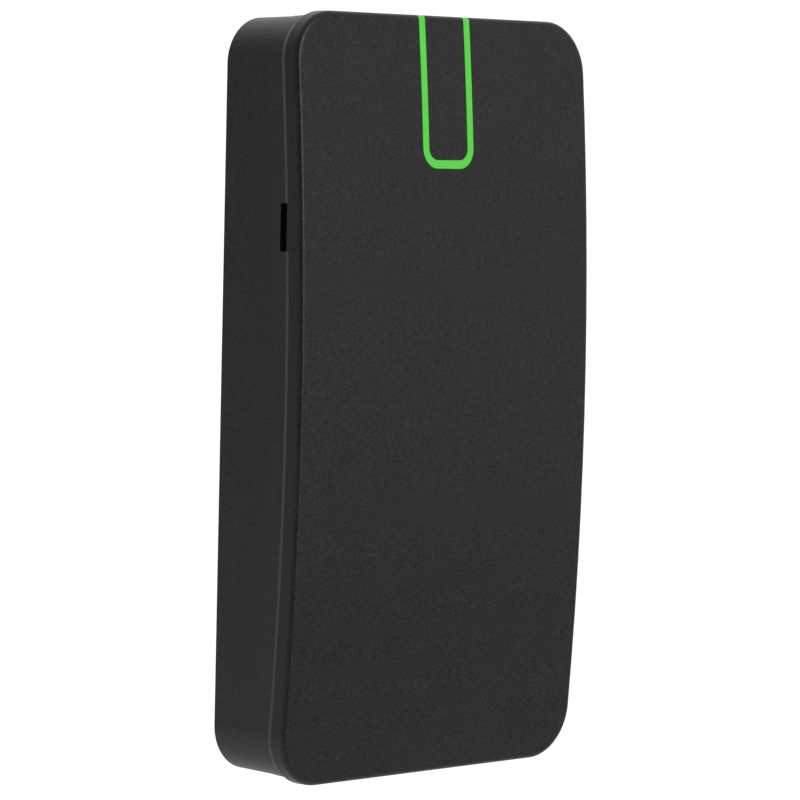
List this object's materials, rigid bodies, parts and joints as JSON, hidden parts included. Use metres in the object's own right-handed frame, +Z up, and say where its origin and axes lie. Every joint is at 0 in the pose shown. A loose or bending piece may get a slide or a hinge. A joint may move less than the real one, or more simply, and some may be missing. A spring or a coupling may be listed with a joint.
{
  "type": "rfid card reader",
  "caption": "Slim wall-mounted proximity card reader with a bowed snap-fit cover, a U-shaped light strip and a side pry slot.",
  "frame": {"origin": "centre of the flat rear face that lies against the wall", "axes": "+Z up, +Y into the wall, so the front faces -Y and +X is to the right of someone facing the reader"},
  "size_m": [0.0442, 0.0124, 0.08],
  "materials": {
    "housing_plastic": "moulded black ABS, fine spark texture",
    "cover_plastic": "moulded black ABS, fine spark texture",
    "light_strip": "milky polycarbonate, lit green",
    "grommet_rubber": "moulded EPDM",
    "circuit_board": "glass-epoxy laminate with green solder mask",
    "screw_steel": "zinc-plated",
    "printed_copper": "etched copper under solder mask",
    "enamelled_wire": "bonded enamelled copper wire",
    "lamp_white": "moulded",
    "lamp_resin": "cast clear resin",
    "shield_white": "moulded white polycarbonate",
    "switch_black": "moulded nylon",
    "plunger_plastic": "moulded acetal",
    "spring_steel": "drawn wire",
    "header_nylon": "moulded natural nylon",
    "tinned_pins": "tin-plated",
    "tinned_leads": "tin-plated",
    "tinned_ends": "tin-plated",
    "chip_epoxy": "transfer-moulded epoxy",
    "choke_ferrite": "pressed ferrite",
    "crystal_lid": "nickel-plated lid",
    "sounder_plastic": "moulded",
    "module_board": "blue solder mask",
    "can_nickel_silver": "pressed nickel silver",
    "capacitor_base": "moulded",
    "capacitor_can": "drawn aluminium",
    "capacitor_ceramic": "fired",
    "resistor_glaze": "glazed"
  },
  "bodies": {
    "housing": {"rear_housing": "housing_plastic", "cable_grommet": "grommet_rubber", "main_board": "circuit_board", "board_screws": "screw_steel", "hf_antenna_loop": "printed_copper", "lf_antenna_coil": "enamelled_wire", "status_leds": "lamp_white", "status_led_windows": "lamp_resin", "light_shield": "shield_white", "tamper_switch": "switch_black", "tamper_spring": "spring_steel", "cable_header": "header_nylon", "header_pins": "tinned_pins", "microcontroller": "chip_epoxy", "microcontroller_leads": "tinned_leads", "card_radio_chip": "chip_epoxy", "line_driver": "chip_epoxy", "line_driver_leads": "tinned_leads", "voltage_regulator": "chip_epoxy", "regulator_leads": "tinned_leads", "power_inductor": "choke_ferrite", "crystal": "crystal_lid", "sounder": "sounder_plastic", "radio_module": "module_board", "radio_module_can": "can_nickel_silver", "bulk_capacitor_bases": "capacitor_base", "bulk_capacitor_cans": "capacitor_can", "chip_capacitors": "capacitor_ceramic", "chip_resistors": "resistor_glaze", "chip_part_ends": "tinned_ends"},
    "cover": {"front_cover": "cover_plastic", "light_guide": "light_strip"},
    "plunger": {"tamper_plunger": "plunger_plastic"}
  },
  "joints": [
    {"name": "cover_pull", "type": "slide", "parent": "housing", "child": "cover", "axis": [0, -1, 0], "range_m": [0, 0.03]},
    {"name": "tamper_travel", "type": "slide", "parent": "housing", "child": "plunger", "axis": [0, -1, 0], "range_m": [0, 0.0008], "deforming": ["tamper_spring"]}
  ],
  "couplings": [
    {"joint": "tamper_travel", "follows": "cover_pull", "ratio": 0.0266}
  ]
}
